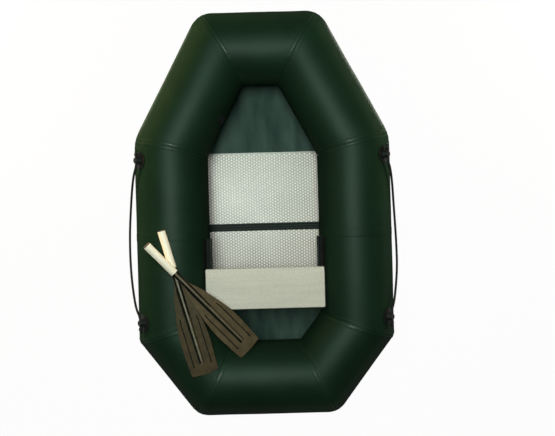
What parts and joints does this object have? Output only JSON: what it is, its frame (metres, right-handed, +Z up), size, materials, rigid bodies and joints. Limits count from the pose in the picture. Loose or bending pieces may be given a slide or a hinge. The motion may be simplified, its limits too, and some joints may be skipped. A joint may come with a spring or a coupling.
{
  "type": "inflatable rowing dinghy",
  "caption": "Inflatable rowing dinghy: eight-sided tube ring on a flat sheet, sliding seat board on bead rails, two floorboards, two hand paddles, capped air valves and side grab ropes.",
  "frame": {"origin": "on the ground under the middle of the hull's length and beam", "axes": "+Y to the bow, +X to starboard, +Z up"},
  "size_m": [1.2659, 1.9, 0.4469],
  "materials": {
    "floor_plastic": "silver-grey, dimpled",
    "black_plastic": "moulded, satin",
    "bottom_pvc": "coated PVC fabric, satin",
    "hull_pvc": "coated PVC fabric, satin",
    "brown_plastic": "satin",
    "cream_plastic": "smooth",
    "baffle_pvc": "coated PVC fabric",
    "rope_fibre": "braided",
    "black_rubber": "matte",
    "seat_laminate": "pale grey laminate, fine texture"
  },
  "bodies": {
    "hull": {"aft_floorboard": "floor_plastic", "bottom_sheet": "bottom_pvc", "bow_tube": "hull_pvc", "floorboard_joiner": "black_plastic", "fore_floorboard": "floor_plastic", "port_aft_side_tube": "hull_pvc", "port_baffle": "baffle_pvc", "port_bow_tube": "hull_pvc", "port_fore_side_tube": "hull_pvc", "port_grab_rope": "rope_fibre", "port_keder": "black_rubber", "port_quarter_tube": "hull_pvc", "port_rope_eyelets": "black_rubber", "port_rope_knots": "rope_fibre", "starboard_aft_side_tube": "hull_pvc", "starboard_baffle": "baffle_pvc", "starboard_bow_tube": "hull_pvc", "starboard_fore_side_tube": "hull_pvc", "starboard_grab_rope": "rope_fibre", "starboard_keder": "black_rubber", "starboard_quarter_tube": "hull_pvc", "starboard_rope_eyelets": "black_rubber", "starboard_rope_knots": "rope_fibre", "stern_tube": "hull_pvc", "valve_bodies": "black_plastic", "valve_membranes": "black_rubber", "valve_nuts": "black_plastic"},
    "seat": {"port_seat_rail": "black_plastic", "seat_board": "seat_laminate", "starboard_seat_rail": "black_plastic"},
    "paddle_a": {"paddle_a_blade": "brown_plastic", "paddle_a_end_plug": "brown_plastic", "paddle_a_grip": "cream_plastic"},
    "paddle_b": {"paddle_b_blade": "brown_plastic", "paddle_b_end_plug": "brown_plastic", "paddle_b_grip": "cream_plastic"},
    "fore_valve_cap": {"fore_valve_cap": "black_plastic"},
    "aft_valve_cap": {"aft_valve_cap": "black_plastic"}
  },
  "joints": [
    {"name": "seat_slide", "type": "slide", "parent": "hull", "child": "seat", "axis": [0, 1, 0], "range_m": [-0.01, 0.138]},
    {"name": "paddle_b_lift", "type": "slide", "parent": "hull", "child": "paddle_b", "axis": [0, 0, 1], "range_m": [0, 0.25]},
    {"name": "paddle_a_lift", "type": "slide", "parent": "paddle_b", "child": "paddle_a", "axis": [0, 0, 1], "range_m": [0, 0.15]},
    {"name": "fore_valve_turn", "type": "hinge", "parent": "hull", "child": "fore_valve_cap", "pos_m": [-0.18287, 0.43664, 0.23892], "axis": [0.8194, -0.4339, 0.3746], "range_deg": [0, 90]},
    {"name": "aft_valve_turn", "type": "hinge", "parent": "hull", "child": "aft_valve_cap", "pos_m": [-0.20882, -0.55686, 0.23892], "axis": [0.7388, 0.5602, 0.3746], "range_deg": [0, 90]}
  ]
}
